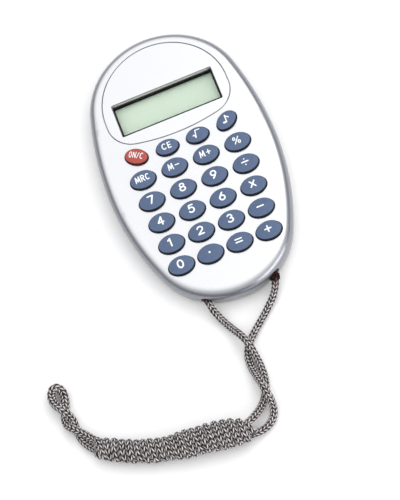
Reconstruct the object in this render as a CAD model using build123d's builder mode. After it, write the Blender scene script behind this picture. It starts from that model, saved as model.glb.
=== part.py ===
"""Oval pocket calculator on a neck cord.

A silver two-part case with rounded edges holds a display under a D-shaped bezel, twenty-four
oval keys on a rubber mat, a circuit board, a button cell and a buzzer. Both ends of the neck
cord are knotted inside the lower end, and the rest of the cord is wound into a hank.

Millimetres. The calculator lies on its back on z = 0, centred on the origin, with its face
up (+Z), its display end towards +Y and its right side towards +X.
"""

from build123d import *
import math
import os

os.makedirs("parts", exist_ok=True)

# Case: outline, heights and walls
case_length = 120.0
case_width = 70.0
case_height = 9.5
top_end_radius = 31.4
bottom_end_radius = 29.0
rim_radius = 3.6
base_radius = 3.0
parting_height = 4.6
shell_step = 0.3
wall = 1.5
floor_thickness = 1.2
face_thickness = 1.4
lip_gap = 0.06
lip_width = 0.8
lip_rise = 1.0
inner_fillet = 1.5

# Display: D-shaped bezel, its window and what lies under it
bezel_radius = 25.6
bezel_centre_y = 29.5
bezel_base_y = 13.85
bezel_base_radius = 75.0
bezel_corner_radius = 11.0
bezel_thickness = 1.2
bezel_gap = 0.16
groove_chamfer = 0.15
skirt_depth = 0.7
skirt_width = 0.5
pad_thickness = 1.0
pad_margin = 1.2
window_length = 41.7
window_width = 14.7
window_y = 28.3
window_corner = 0.3
window_chamfer = 0.3
collar_gap = 0.1
collar_thickness = 0.9
ledge = 0.4
glass_length = 44.6
glass_width = 17.6
glass_thickness = 0.5
contact_ledge = 2.0
film_thickness = 0.15
film_margin = 0.5
glass_top = 6.3
glass_gap = 0.05
frame_foot = 5.2
frame_margin = 1.2
collar_height = 0.25
strip_length = 40.0
strip_width = 1.6

# Keys: an arched top row of four over five rows of four, drawing in towards the bottom
key_half_length = 5.25
key_half_width = 3.9
small_key_half_length = 4.7
small_key_half_width = 3.35
key_row_y = (-0.5, -10.65, -20.8, -30.95, -41.1)
key_row_reach = (19.7, 19.5, 19.0, 18.45, 17.9)
arch_reach = 18.9
arch_outer_y = 10.1
arch_inner_y = 8.85
arch_turn = 32.0
key_travel = 0.8
key_rise = 1.4
crown_radius = 26.0
key_edge_radius = 0.4
key_gap = 0.25
flange_margin = 0.5
flange_thickness = 0.75
flange_play = 0.05
stem_radius = 1.5
key_names = (
    ("on_clear", "clear_entry", "square_root", "tone"),
    ("memory_recall", "memory_minus", "memory_plus", "percent"),
    ("seven", "eight", "nine", "divide"),
    ("four", "five", "six", "multiply"),
    ("one", "two", "three", "minus"),
    ("zero", "point", "equals", "plus"),
)

# Inside: board, rubber mat, battery, buzzer, screws and wires
board_underside = 3.6
board_thickness = 0.8
board_inset = 3.0
board_top_y = 22.6
board_bottom_y = -45.6
chip_place = (0.0, 6.0)
chip_radius = 5.0
chip_height = 1.2
chip_edge_radius = 1.0
component_places = ((-15.0, -14.0), (-15.0, -18.0), (14.0, 2.0), (16.0, -24.0))
component_length = 3.0
component_width = 1.6
component_height = 0.8
component_chamfer = 0.15
mat_thickness = 0.6
mat_inset = 4.6
mat_top_y = 14.4
mat_bottom_y = -45.2
dome_base_radius = 3.1
dome_top_radius = 1.9
dome_height = 1.3
dome_wall = 0.5
stem_play = 0.05
case_screw_places = ((-20.0, 44.0), (20.0, 44.0), (-23.6, -36.5), (23.6, -36.5))
case_boss_radius = 1.9
case_boss_foot = 3.2
case_post_radius = 2.6
case_screw_radius = 0.9
case_screw_length = 4.8
case_head_radius = 1.7
case_head_height = 1.2
case_pilot_depth = 4.0
counterbore_radius = 1.8
counterbore_depth = 1.8
screw_gap = 0.05
boss_clearance = 3.0
cross_depth = 0.5
cross_length = 1.8
cross_width = 0.4
board_screw_places = ((-13.1, -6.0), (13.1, -6.0), (-12.4, -36.4), (12.4, -36.4))
board_post_radius = 1.5
board_screw_radius = 0.6
board_screw_length = 3.6
board_head_radius = 1.4
board_head_height = 1.0
board_pilot_depth = 3.2
support_radius = 1.2
support_places = ((-20.0, -14.0), (20.0, -14.0), (-21.0, 5.0), (21.0, 5.0), (-26.0, 18.5), (26.0, 18.5))
cell_radius = 5.8
cell_height = 3.05
cell_y = 38.0
door_opening = 15.0
door_size = 18.0
door_corner = 2.5
door_plate = 0.6
door_rebate = 0.7
door_gap = 0.15
door_top = 1.1
nail_slot_inset = 3.0
cell_lift = 0.05
cell_cap_step = 1.0
cell_cap_height = 0.3
cell_edge_radius = 0.5
cell_side_gap = 0.06
nail_slot_length = 7.0
nail_slot_width = 1.8
nail_slot_depth = 0.35
box_wall = 1.0
box_top = 4.2
contact_thickness = 0.25
contact_width = 3.0
contact_foot = 2.0
leaf_underside = 4.25
leaf_reach = 2.0
buzzer_y = -24.0
buzzer_radius = 7.5
buzzer_disc_thickness = 0.25
crystal_radius = 5.0
crystal_thickness = 0.2
wire_radius = 0.3

# Neck cord: exits, knots, hank and tail
cord_diameter = 2.8
exit_x = 14.0
exit_hole_radius = 2.0
exit_depth = 12.0
knot_face_y = -50.9
knot_length = 4.6
knot_radius = 2.4
knot_edge_radius = 1.0
hank_radius = 4.9
hank_end_radius = 2.4
tail_radius = 3.1
tail_end_radius = 2.4

face_underside = case_height - face_thickness
recess_floor = case_height - bezel_thickness
pad_underside = recess_floor - pad_thickness
board_top = board_underside + board_thickness
mat_top = board_top + mat_thickness
half_length = case_length / 2
half_width = case_width / 2


def export_piece(piece, label):
    """Label a finished piece and write it to its own STEP file."""
    piece.part.label = label
    export_step(piece.part, f"parts/{label}.step")


def draw_oval(height, inset=0.0):
    """Sketch the case outline as six tangent arcs, moved inwards by inset."""
    with BuildSketch(Plane.XY.offset(height)) as oval:
        with BuildLine():
            for end_radius, turn in ((top_end_radius, 0), (bottom_end_radius, 180)):
                end_centre = half_length - end_radius
                excess = half_width**2 + end_centre**2 - end_radius**2
                side_radius = excess / (case_width - 2 * end_radius)
                side_centre = side_radius - half_width
                joint = math.degrees(math.atan2(end_centre, side_centre))
                side = -1 if turn else 1
                CenterArc((-side * side_centre, 0), side_radius - inset, turn, joint)
                CenterArc((0, side * end_centre), end_radius - inset, turn + joint, 180 - 2 * joint)
                CenterArc((side * side_centre, 0), side_radius - inset, turn + 180 - joint, joint)
        make_face()
    return oval.sketch


def draw_bezel(height, inset=0.0):
    """Sketch the bezel's D shape: a half circle over a gently bowed base with round corners."""
    half = bezel_radius - inset
    base_radius_here = bezel_base_radius - inset
    base_centre_y = bezel_base_y + bezel_base_radius
    corner_y = base_centre_y - math.sqrt(base_radius_here**2 - half**2)
    with BuildSketch(Plane.XY.offset(height)) as bezel:
        with BuildLine():
            CenterArc((0, bezel_centre_y), half, 0, 180)
            Line((-half, bezel_centre_y), (-half, corner_y))
            ThreePointArc((-half, corner_y), (0, base_centre_y - base_radius_here), (half, corner_y))
            Line((half, corner_y), (half, bezel_centre_y))
        make_face()
        fillet(bezel.vertices().group_by(Axis.Y)[0], radius=bezel_corner_radius - inset)
    return bezel.sketch


def draw_window(height, margin=0.0):
    """Sketch the display window's rectangle, grown by margin on every side."""
    with BuildSketch(Plane.XY.offset(height)) as window:
        with Locations((0, window_y)):
            RectangleRounded(window_length + 2 * margin, window_width + 2 * margin, window_corner)
    return window.sketch


def draw_glass(height, margin=0.0):
    """Sketch the front glass's rectangle, grown by margin."""
    with BuildSketch(Plane.XY.offset(height)) as glass:
        with Locations((0, window_y)):
            Rectangle(glass_length + 2 * margin, glass_width + 2 * margin)
    return glass.sketch


def draw_rear_layer(height, inset):
    """Sketch a layer behind the front glass, which leaves the contact ledge free."""
    with BuildSketch(Plane.XY.offset(height)) as layer:
        with Locations((0, window_y + contact_ledge / 2)):
            Rectangle(glass_length - 2 * inset, glass_width - contact_ledge - 2 * inset)
    return layer.sketch


def draw_band(height, low_y, high_y):
    """Sketch a band across the case, between two places along its length."""
    with BuildSketch(Plane.XY.offset(height)) as band:
        with Locations((0, (low_y + high_y) / 2)):
            Rectangle(case_width, high_y - low_y)
    return band.sketch


def draw_exits():
    """Sketch the two cord holes on the parting line, seen from the lower end."""
    with BuildSketch(Plane.XZ.offset(half_length - exit_depth)) as exits:
        with Locations((-exit_x, parting_height), (exit_x, parting_height)):
            Circle(exit_hole_radius)
    return exits.sketch


def draw_crosses(height, places):
    """Sketch a cross recess at each place."""
    with BuildSketch(Plane.XY.offset(height)) as crosses:
        with Locations(*places):
            Rectangle(cross_length, cross_width)
            Rectangle(cross_width, cross_length)
    return crosses.sketch


def draw_circles(height, places, radius):
    """Sketch one circle at each place."""
    with BuildSketch(Plane.XY.offset(height)) as circles:
        with Locations(*places):
            Circle(radius)
    return circles.sketch


def draw_square(height, side):
    """Sketch a rounded square around the button cell."""
    with BuildSketch(Plane.XY.offset(height)) as square:
        with Locations((0, cell_y)):
            RectangleRounded(side, side, door_corner)
    return square.sketch


def key_layout():
    """List every key as (name, x, y, turn, half length, half width)."""
    small = (small_key_half_length, small_key_half_width)
    places = [
        (-arch_reach, arch_outer_y, -arch_turn, *small),
        (-arch_reach / 3, arch_inner_y, 0.0, *small),
        (arch_reach / 3, arch_inner_y, 0.0, *small),
        (arch_reach, arch_outer_y, arch_turn, *small),
    ]
    for row_y, reach in zip(key_row_y, key_row_reach):
        for column in (-1, -1 / 3, 1 / 3, 1):
            places.append((column * reach, row_y, 0.0, key_half_length, key_half_width))
    names = [name for row in key_names for name in row]
    return [(name, *place) for name, place in zip(names, places)]


def draw_keys(height, margin):
    """Sketch all the key ellipses, grown by margin."""
    with BuildSketch(Plane.XY.offset(height)) as ovals:
        for _, x, y, turn, half_x, half_y in key_layout():
            with Locations(Location((x, y), turn)):
                Ellipse(half_x + margin, half_y + margin)
    return ovals.sketch


def bend_radii(points, share=0.45):
    """Give each corner of a route the largest radius that its two runs allow."""
    radii = []
    for before, corner, after in zip(points, points[1:], points[2:]):
        arriving = Vector(*corner) - Vector(*before)
        leaving = Vector(*after) - Vector(*corner)
        turn = math.radians(arriving.get_angle(leaving))
        radii.append(share * min(arriving.length, leaving.length) / math.tan(turn / 2))
    return radii


def round_tube(points, radius, end_radius=0.0):
    """Sweep a circle along straight runs joined by tangent arcs, and round its two ends."""
    with BuildPart() as tube:
        with BuildLine() as route:
            FilletPolyline(*points, radius=bend_radii(points))
        centreline = route.wires()[0]
        with BuildSketch(Plane(origin=centreline @ 0, z_dir=centreline % 0)):
            Circle(radius)
        sweep(path=centreline)
        filling = tube.part.volume / (math.pi * radius**2 * centreline.length)
        if end_radius:
            fillet(tube.faces().filter_by(GeomType.PLANE).edges(), radius=end_radius)
    print(f"tube of radius {radius}: length {centreline.length:.1f}, filling {filling:.4f}")
    print("  bend radii", [round(bend, 1) for bend in bend_radii(points)])
    return tube


# Case
with BuildPart() as front_case:
    extrude(draw_oval(parting_height), amount=case_height - parting_height)
    fillet(front_case.faces().sort_by(Axis.Z)[-1].edges(), radius=rim_radius)
    extrude(draw_oval(parting_height, wall), amount=face_underside - parting_height, mode=Mode.SUBTRACT)
    fillet(front_case.faces().filter_by(Plane.XY).sort_by(Axis.Z)[-2].edges(), radius=inner_fillet)
    extrude(draw_bezel(pad_underside, -pad_margin), amount=face_underside - pad_underside)
    case_bosses = draw_circles(case_boss_foot, case_screw_places, case_boss_radius)
    extrude(case_bosses, amount=face_underside - case_boss_foot)
    board_posts = draw_circles(board_top, board_screw_places, board_post_radius)
    extrude(board_posts, amount=face_underside - board_top)
    extrude(draw_bezel(recess_floor), amount=bezel_thickness, mode=Mode.SUBTRACT)
    recess_rim = front_case.faces().sort_by(Axis.Z)[-1].inner_wires().edges()
    chamfer(recess_rim, length=groove_chamfer)
    collar_opening = draw_window(pad_underside, collar_thickness + collar_gap - ledge)
    extrude(collar_opening, amount=pad_thickness, mode=Mode.SUBTRACT)
    extrude(draw_keys(pad_underside, key_gap), amount=case_height - pad_underside, mode=Mode.SUBTRACT)
    case_pilots = draw_circles(case_boss_foot, case_screw_places, case_screw_radius + screw_gap)
    extrude(case_pilots, amount=case_pilot_depth, mode=Mode.SUBTRACT)
    board_pilots = draw_circles(board_top, board_screw_places, board_screw_radius + screw_gap)
    extrude(board_pilots, amount=board_pilot_depth, mode=Mode.SUBTRACT)
    extrude(draw_exits(), amount=exit_depth, mode=Mode.SUBTRACT)
export_piece(front_case, "front_case")

with BuildPart() as back_case:
    extrude(draw_oval(0.0, shell_step), amount=parting_height)
    fillet(back_case.faces().sort_by(Axis.Z)[0].edges(), radius=base_radius)
    extrude(draw_oval(floor_thickness, wall + lip_gap), amount=parting_height + lip_rise - floor_thickness)
    lip_inset = wall + lip_gap + lip_width
    extrude(draw_oval(floor_thickness, lip_inset), amount=case_height, mode=Mode.SUBTRACT)
    fillet(back_case.faces().filter_by(Plane.XY).sort_by(Axis.Z)[1].edges(), radius=inner_fillet)
    case_posts = draw_circles(floor_thickness, case_screw_places, case_post_radius)
    extrude(case_posts, amount=case_boss_foot - floor_thickness)
    supports = draw_circles(floor_thickness, support_places, support_radius)
    extrude(supports, amount=board_underside - floor_thickness)
    box_outside = draw_square(floor_thickness, door_opening + 2 * box_wall)
    extrude(box_outside, amount=box_top - floor_thickness)
    extrude(draw_square(0.0, door_opening), amount=box_top, mode=Mode.SUBTRACT)
    extrude(draw_square(0.0, door_size), amount=door_rebate, mode=Mode.SUBTRACT)
    case_holes = draw_circles(0.0, case_screw_places, case_screw_radius + screw_gap)
    extrude(case_holes, amount=case_boss_foot, mode=Mode.SUBTRACT)
    counterbores = draw_circles(0.0, case_screw_places, counterbore_radius)
    extrude(counterbores, amount=counterbore_depth, mode=Mode.SUBTRACT)
    extrude(draw_exits(), amount=exit_depth, mode=Mode.SUBTRACT)
export_piece(back_case, "back_case")

# Display
with BuildPart() as display_bezel:
    extrude(draw_bezel(recess_floor, bezel_gap), amount=bezel_thickness)
    bezel_rim = display_bezel.faces().sort_by(Axis.Z)[-1].outer_wire().edges()
    chamfer(bezel_rim, length=groove_chamfer)
    skirt_foot = recess_floor - skirt_depth
    extrude(draw_window(skirt_foot, skirt_width), amount=skirt_depth)
    extrude(draw_window(skirt_foot), amount=case_height - skirt_foot, mode=Mode.SUBTRACT)
    window_rim = display_bezel.faces().sort_by(Axis.Z)[-1].inner_wires().edges()
    chamfer(window_rim, length=window_chamfer)
export_piece(display_bezel, "display_bezel")

with BuildPart() as lcd_frame:
    extrude(draw_glass(frame_foot, frame_margin), amount=pad_underside - frame_foot)
    extrude(draw_window(pad_underside, collar_thickness - ledge), amount=collar_height)
    extrude(draw_window(frame_foot, -ledge), amount=case_height, mode=Mode.SUBTRACT)
    extrude(draw_glass(frame_foot, glass_gap), amount=glass_top - frame_foot, mode=Mode.SUBTRACT)
export_piece(lcd_frame, "lcd_frame")

with BuildPart() as lcd_front_glass:
    extrude(draw_glass(glass_top - glass_thickness), amount=glass_thickness)
export_piece(lcd_front_glass, "lcd_front_glass")

with BuildPart() as lcd_rear_glass:
    extrude(draw_rear_layer(glass_top - 2 * glass_thickness, 0.0), amount=glass_thickness)
export_piece(lcd_rear_glass, "lcd_rear_glass")

with BuildPart() as lcd_reflector:
    film_foot = glass_top - 2 * glass_thickness - film_thickness
    extrude(draw_rear_layer(film_foot, film_margin), amount=film_thickness)
export_piece(lcd_reflector, "lcd_reflector")

with BuildPart() as contact_strip:
    strip_y = window_y - glass_width / 2 + contact_ledge / 2
    with BuildSketch(Plane.XY.offset(board_top)):
        with Locations((0, strip_y)):
            Rectangle(strip_length, strip_width)
    extrude(amount=glass_top - glass_thickness - board_top)
export_piece(contact_strip, "contact_strip")

# Circuit board and what is soldered to it
with BuildPart() as circuit_board:
    extrude(draw_oval(board_underside, board_inset), amount=board_thickness)
    board_band = draw_band(board_underside, board_bottom_y, board_top_y)
    extrude(board_band, amount=board_thickness, mode=Mode.INTERSECT)
    board_notches = draw_circles(board_underside, case_screw_places, boss_clearance)
    extrude(board_notches, amount=board_thickness, mode=Mode.SUBTRACT)
    board_holes = draw_circles(board_underside, board_screw_places, board_screw_radius + screw_gap)
    extrude(board_holes, amount=board_thickness, mode=Mode.SUBTRACT)
export_piece(circuit_board, "circuit_board")

with BuildPart() as chip_cover:
    with BuildSketch(Plane.XY.offset(board_underside)):
        with Locations(chip_place):
            Circle(chip_radius)
    extrude(amount=-chip_height)
    fillet(chip_cover.faces().sort_by(Axis.Z)[0].edges(), radius=chip_edge_radius)
export_piece(chip_cover, "chip_cover")

with BuildPart() as board_components:
    with BuildSketch(Plane.XY.offset(board_underside)):
        for place in component_places:
            with Locations(place):
                Rectangle(component_length, component_width)
    extrude(amount=-component_height)
    chamfer(board_components.faces().group_by(Axis.Z)[0].edges(), length=component_chamfer)
export_piece(board_components, "board_components")

# Rubber mat: a sheet with a dome under each key, whose hollow is as high as the key's travel
with BuildPart() as keypad_mat:
    extrude(draw_oval(board_top, mat_inset), amount=mat_thickness)
    mat_band = draw_band(board_top, mat_bottom_y, mat_top_y)
    extrude(mat_band, amount=mat_thickness, mode=Mode.INTERSECT)
    mat_notches = draw_circles(board_top, case_screw_places, boss_clearance)
    extrude(mat_notches, amount=mat_thickness, mode=Mode.SUBTRACT)
    mat_holes = draw_circles(board_top, board_screw_places, board_post_radius + screw_gap)
    extrude(mat_holes, amount=mat_thickness, mode=Mode.SUBTRACT)
    key_centres = [(x, y) for _, x, y, *_ in key_layout()]
    upright = (Align.CENTER, Align.CENTER, Align.MIN)
    with Locations(*[(x, y, mat_top) for x, y in key_centres]):
        Cone(dome_base_radius, dome_top_radius, dome_height, align=upright)
    with Locations(*[(x, y, board_top) for x, y in key_centres]):
        hollow_radii = (dome_base_radius - dome_wall, dome_top_radius - dome_wall)
        Cone(*hollow_radii, key_travel, align=upright, mode=Mode.SUBTRACT)
export_piece(keypad_mat, "keypad_mat")


def make_key(x, y, turn, half_x, half_y):
    """Build one key: a crowned oval cap on a wider flange, with a stem over its rubber dome."""
    flange_top = face_underside - flange_play
    stem_foot = mat_top + dome_height + stem_play
    cap_top = case_height + key_rise
    place = Location((x, y), turn)
    with BuildPart() as key:
        with BuildSketch(Plane.XY.offset(flange_top - flange_thickness)):
            with Locations(place):
                Ellipse(half_x, half_y)
        extrude(amount=cap_top - flange_top + flange_thickness)
        with Locations((x, y, cap_top - crown_radius)):
            Sphere(crown_radius, mode=Mode.INTERSECT)
        fillet(key.faces().sort_by(Axis.Z)[-1].edges(), radius=key_edge_radius)
        with BuildSketch(Plane.XY.offset(flange_top - flange_thickness)):
            with Locations(place):
                Ellipse(half_x + flange_margin, half_y + flange_margin)
        extrude(amount=flange_thickness)
        with BuildSketch(Plane.XY.offset(stem_foot)):
            with Locations(place):
                Circle(stem_radius)
        extrude(amount=flange_top - stem_foot)
    return key


for key_name, *key_place in key_layout():
    export_piece(make_key(*key_place), f"key_{key_name}")

# Battery
with BuildPart() as battery_door:
    extrude(draw_square(0.0, door_size - 2 * door_gap), amount=door_plate)
    extrude(draw_square(door_plate, door_opening - 2 * door_gap), amount=door_top - door_plate)
    with BuildSketch(Plane.XY):
        with Locations((0, cell_y - door_size / 2 + nail_slot_inset)):
            SlotOverall(nail_slot_length, nail_slot_width)
    extrude(amount=nail_slot_depth, mode=Mode.SUBTRACT)
export_piece(battery_door, "battery_door")

with BuildPart() as button_cell:
    cell_foot = door_top + cell_lift
    can_top = cell_foot + cell_height - cell_cap_height
    extrude(draw_circles(cell_foot, [(0, cell_y)], cell_radius), amount=can_top - cell_foot)
    fillet(button_cell.faces().sort_by(Axis.Z)[0].edges(), radius=cell_edge_radius)
    extrude(draw_circles(can_top, [(0, cell_y)], cell_radius - cell_cap_step), amount=cell_cap_height)
export_piece(button_cell, "button_cell")

with BuildPart() as contact_negative:
    box_face_y = cell_y - door_opening / 2 - box_wall
    with BuildSketch(Plane.YZ):
        with BuildLine():
            Polyline(
                (cell_y + leaf_reach, leaf_underside),
                (box_face_y, leaf_underside),
                (box_face_y, contact_foot),
                (box_face_y - contact_thickness, contact_foot),
                (box_face_y - contact_thickness, leaf_underside + contact_thickness),
                (cell_y + leaf_reach, leaf_underside + contact_thickness),
                close=True,
            )
        make_face()
    extrude(amount=contact_width / 2, both=True)
export_piece(contact_negative, "contact_negative")

with BuildPart() as contact_positive:
    cell_side_y = cell_y + cell_radius + cell_side_gap
    box_back_y = cell_y + door_opening / 2 + box_wall
    with BuildSketch(Plane.YZ):
        with BuildLine():
            Polyline(
                (cell_side_y, contact_foot),
                (cell_side_y, leaf_underside + contact_thickness),
                (box_back_y + contact_thickness, leaf_underside + contact_thickness),
                (box_back_y + contact_thickness, contact_foot),
                (box_back_y, contact_foot),
                (box_back_y, leaf_underside),
                (cell_side_y + contact_thickness, leaf_underside),
                (cell_side_y + contact_thickness, contact_foot),
                close=True,
            )
        make_face()
    extrude(amount=contact_width / 2, both=True)
export_piece(contact_positive, "contact_positive")

# Buzzer, on the floor of the case
with BuildPart() as buzzer_disc:
    extrude(draw_circles(floor_thickness, [(0, buzzer_y)], buzzer_radius), amount=buzzer_disc_thickness)
export_piece(buzzer_disc, "buzzer_disc")

with BuildPart() as buzzer_crystal:
    buzzer_top = floor_thickness + buzzer_disc_thickness
    extrude(draw_circles(buzzer_top, [(0, buzzer_y)], crystal_radius), amount=crystal_thickness)
export_piece(buzzer_crystal, "buzzer_crystal")

# Wires, each from a contact or the buzzer to the underside of the board
wire_routes = {
    "wire_positive": (
        (0, box_back_y + contact_thickness, 2.9),
        (0.6, 49.2, 2.8),
        (6.5, 51.4, 2.2),
        (13.0, 49.4, 2.0),
        (17.2, 43.6, 2.1),
        (18.8, 36.0, 2.0),
        (21.4, 28.0, 2.0),
        (22.0, 20.5, 2.1),
        (21.6, 14.0, 2.1),
        (21.6, 14.0, board_underside),
    ),
    "wire_negative": (
        (0, box_face_y - contact_thickness, 2.9),
        (-0.6, 26.8, 2.8),
        (-5.0, 23.6, 2.2),
        (-9.0, 19.6, 2.0),
        (-9.6, 14.0, 2.1),
        (-9.6, 14.0, board_underside),
    ),
    "wire_buzzer_disc": (
        (6.2, buzzer_y, buzzer_top),
        (6.2, buzzer_y, 2.6),
        (8.0, -18.0, 2.5),
        (7.6, -12.0, 2.5),
        (7.6, -12.0, board_underside),
    ),
    "wire_buzzer_crystal": (
        (0, buzzer_y + 2.5, buzzer_top + crystal_thickness),
        (0, buzzer_y + 2.5, 2.6),
        (-2.4, -17.0, 2.5),
        (-3.0, -12.0, 2.5),
        (-3.0, -12.0, board_underside),
    ),
}
for wire_name, wire_route in wire_routes.items():
    export_piece(round_tube(wire_route, wire_radius), wire_name)

# Screws: pan heads with a cross recess, driven up from below
with BuildPart() as case_screws:
    case_head_foot = counterbore_depth - case_head_height
    extrude(draw_circles(case_head_foot, case_screw_places, case_head_radius), amount=case_head_height)
    extrude(draw_circles(counterbore_depth, case_screw_places, case_screw_radius), amount=case_screw_length)
    case_crosses = draw_crosses(case_head_foot, case_screw_places)
    extrude(case_crosses, amount=cross_depth, mode=Mode.SUBTRACT)
export_piece(case_screws, "case_screws")

with BuildPart() as board_screws:
    board_head_foot = board_underside - board_head_height
    extrude(draw_circles(board_head_foot, board_screw_places, board_head_radius), amount=board_head_height)
    extrude(draw_circles(board_underside, board_screw_places, board_screw_radius), amount=board_screw_length)
    board_crosses = draw_crosses(board_head_foot, board_screw_places)
    extrude(board_crosses, amount=cross_depth, mode=Mode.SUBTRACT)
export_piece(board_screws, "board_screws")

# Neck cord. Both strands leave the lower end, cross twice and go into the hank.
for side, side_name in ((-1, "left"), (1, "right")):
    with BuildPart() as cord_knot:
        with BuildSketch(Plane.XZ.offset(-knot_face_y - knot_length)):
            with Locations((side * exit_x, parting_height)):
                Circle(knot_radius)
        extrude(amount=knot_length)
        fillet(cord_knot.edges().filter_by(GeomType.CIRCLE), radius=knot_edge_radius)
    export_piece(cord_knot, f"cord_knot_{side_name}")

left_strand = (
    (-14.0, knot_face_y, parting_height),
    (-13.8, -58.6, 4.2),
    (-11.2, -65.4, 1.7),
    (-8.4, -71.2, 2.9),
    (-6.5, -75.6, 5.4),
    (-5.0, -80.2, 5.3),
    (-4.2, -86.0, 2.0),
    (-4.0, -91.8, 1.5),
    (-5.2, -97.2, 1.5),
    (-7.6, -101.8, 1.6),
    (-10.8, -105.6, 3.2),
    (-14.4, -108.6, 5.4),
    (-18.4, -110.4, 6.0),
)
right_strand = (
    (14.0, knot_face_y, parting_height),
    (13.8, -57.4, 4.4),
    (10.8, -63.2, 2.4),
    (5.4, -68.2, 1.5),
    (0.2, -72.8, 1.6),
    (-4.6, -77.2, 1.5),
    (-7.4, -82.0, 1.5),
    (-7.7, -87.6, 1.6),
    (-7.0, -92.2, 3.2),
    (-6.4, -96.0, 5.4),
    (-5.6, -100.4, 5.3),
    (-5.0, -105.6, 2.4),
    (-7.0, -110.4, 1.5),
    (-12.0, -113.2, 2.0),
    (-18.0, -113.4, 3.2),
)
hank_line = (
    (-71.6, -95.6, hank_radius),
    (-66.0, -99.6, hank_radius),
    (-57.0, -103.8, hank_radius),
    (-47.4, -106.8, hank_radius),
    (-38.0, -108.3, hank_radius),
    (-27.6, -109.6, hank_radius),
    (-17.0, -111.8, hank_radius),
)
tail_line = (
    (-69.8, -96.4, tail_radius),
    (-74.4, -91.0, tail_radius),
    (-77.6, -84.6, tail_radius),
    (-79.3, -77.6, tail_radius),
    (-79.6, -70.6, tail_radius),
    (-78.9, -64.8, tail_radius),
)
export_piece(round_tube(left_strand, cord_diameter / 2), "cord_left")
export_piece(round_tube(right_strand, cord_diameter / 2), "cord_right")

export_piece(round_tube(hank_line, hank_radius, hank_end_radius), "cord_hank")
export_piece(round_tube(tail_line, tail_radius, tail_end_radius), "cord_tail")
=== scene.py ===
"""Looks of the oval pocket calculator: its cord, key legends, display and every material."""

import math

import bmesh
import bpy
import numpy as np
from mathutils import Matrix, Vector


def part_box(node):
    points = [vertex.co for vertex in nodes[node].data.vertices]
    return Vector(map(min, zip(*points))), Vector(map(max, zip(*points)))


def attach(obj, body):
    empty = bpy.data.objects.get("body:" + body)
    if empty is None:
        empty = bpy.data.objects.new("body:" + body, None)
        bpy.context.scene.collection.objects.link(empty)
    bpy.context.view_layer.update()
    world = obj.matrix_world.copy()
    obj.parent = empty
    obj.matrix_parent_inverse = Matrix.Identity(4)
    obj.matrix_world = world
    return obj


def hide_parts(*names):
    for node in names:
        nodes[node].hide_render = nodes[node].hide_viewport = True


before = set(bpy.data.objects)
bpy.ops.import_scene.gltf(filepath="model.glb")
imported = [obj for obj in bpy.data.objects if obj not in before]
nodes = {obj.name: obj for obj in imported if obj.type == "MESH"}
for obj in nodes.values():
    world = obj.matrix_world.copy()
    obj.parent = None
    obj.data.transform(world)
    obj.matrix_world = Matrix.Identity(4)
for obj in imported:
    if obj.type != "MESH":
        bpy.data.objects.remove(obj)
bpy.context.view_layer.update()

MM = 0.001
scene = bpy.context.scene
scene.view_settings.view_transform = "Standard"


# Camera: a metre away, 27 degrees off the vertical, with the calculator's top turned to the left
def add_camera():
    look_at = Vector((-0.00937, -0.03283, 0.0))
    distance = 1.0
    focal_length, sensor_width = 187.2, 36.0
    tilt = math.radians(27.0)
    heading = math.radians(-1.771)
    roll = math.radians(21.588)
    gaze = Vector((
        math.sin(tilt) * math.sin(heading),
        math.sin(tilt) * math.cos(heading),
        -math.cos(tilt),
    ))
    ahead = Vector((0.0, 1.0, 0.0))
    ahead = (ahead - gaze * gaze.dot(ahead)).normalized()
    aside = gaze.cross(ahead)
    right = aside * math.cos(roll) - ahead * math.sin(roll)
    up = aside * math.sin(roll) + ahead * math.cos(roll)
    data = bpy.data.cameras.new("camera")
    data.lens = focal_length
    data.sensor_width = sensor_width
    camera = bpy.data.objects.new("camera", data)
    turn = Matrix((right, up, -gaze)).transposed().to_4x4()
    camera.matrix_world = Matrix.Translation(look_at - gaze * distance) @ turn
    scene.collection.objects.link(camera)
    scene.camera = camera


add_camera()


# Studio: a white floor, a pale room that darkens below the horizon, and two soft lights
room_strength = 1.3
room_colours = ((0.0, (0.26, 0.27, 0.30)), (0.38, (0.36, 0.37, 0.41)), (0.66, (1.0, 1.0, 1.0)))
floor_half_size = 3.0
floor_gap = 0.00005


def add_light(name, size, power, place, target):
    data = bpy.data.lights.new(name, "AREA")
    data.shape = "RECTANGLE"
    data.size, data.size_y = size
    data.energy = power
    light = bpy.data.objects.new(name, data)
    light.location = place
    light.rotation_mode = "QUATERNION"
    light.rotation_quaternion = (Vector(target) - Vector(place)).to_track_quat("-Z", "Y")
    scene.collection.objects.link(light)


def add_studio():
    add_light(
        "light_above",
        size=(0.7, 0.7),
        power=1.9,
        place=(0.50, 0.42, 0.90),
        target=(0.0, 0.0, 0.0),
    )
    add_light(
        "light_front",
        size=(0.75, 0.40),
        power=3.4,
        place=(0.60, -0.62, 0.25),
        target=(0.02, -0.04, 0.0),
    )
    world = bpy.data.worlds.new("room")
    scene.world = world
    world.use_nodes = True
    tree = world.node_tree
    coordinates = tree.nodes.new("ShaderNodeTexCoord")
    split = tree.nodes.new("ShaderNodeSeparateXYZ")
    ramp = tree.nodes.new("ShaderNodeValToRGB")
    ramp.color_ramp.elements.new(0.5)
    for element, (height, colour) in zip(ramp.color_ramp.elements, room_colours):
        element.position = height
        element.color = (*colour, 1.0)
    background = tree.nodes["Background"]
    background.inputs["Strength"].default_value = room_strength
    tree.links.new(coordinates.outputs["Generated"], split.inputs[0])
    tree.links.new(split.outputs["Z"], ramp.inputs["Fac"])
    tree.links.new(ramp.outputs["Color"], background.inputs["Color"])

    floor_mesh = bpy.data.meshes.new("floor")
    form = bmesh.new()
    bmesh.ops.create_grid(form, x_segments=1, y_segments=1, size=floor_half_size)
    form.to_mesh(floor_mesh)
    form.free()
    floor = bpy.data.objects.new("floor", floor_mesh)
    floor.location.z = -floor_gap
    scene.collection.objects.link(floor)
    floor_mesh.materials.append(make_floor_material())


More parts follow.
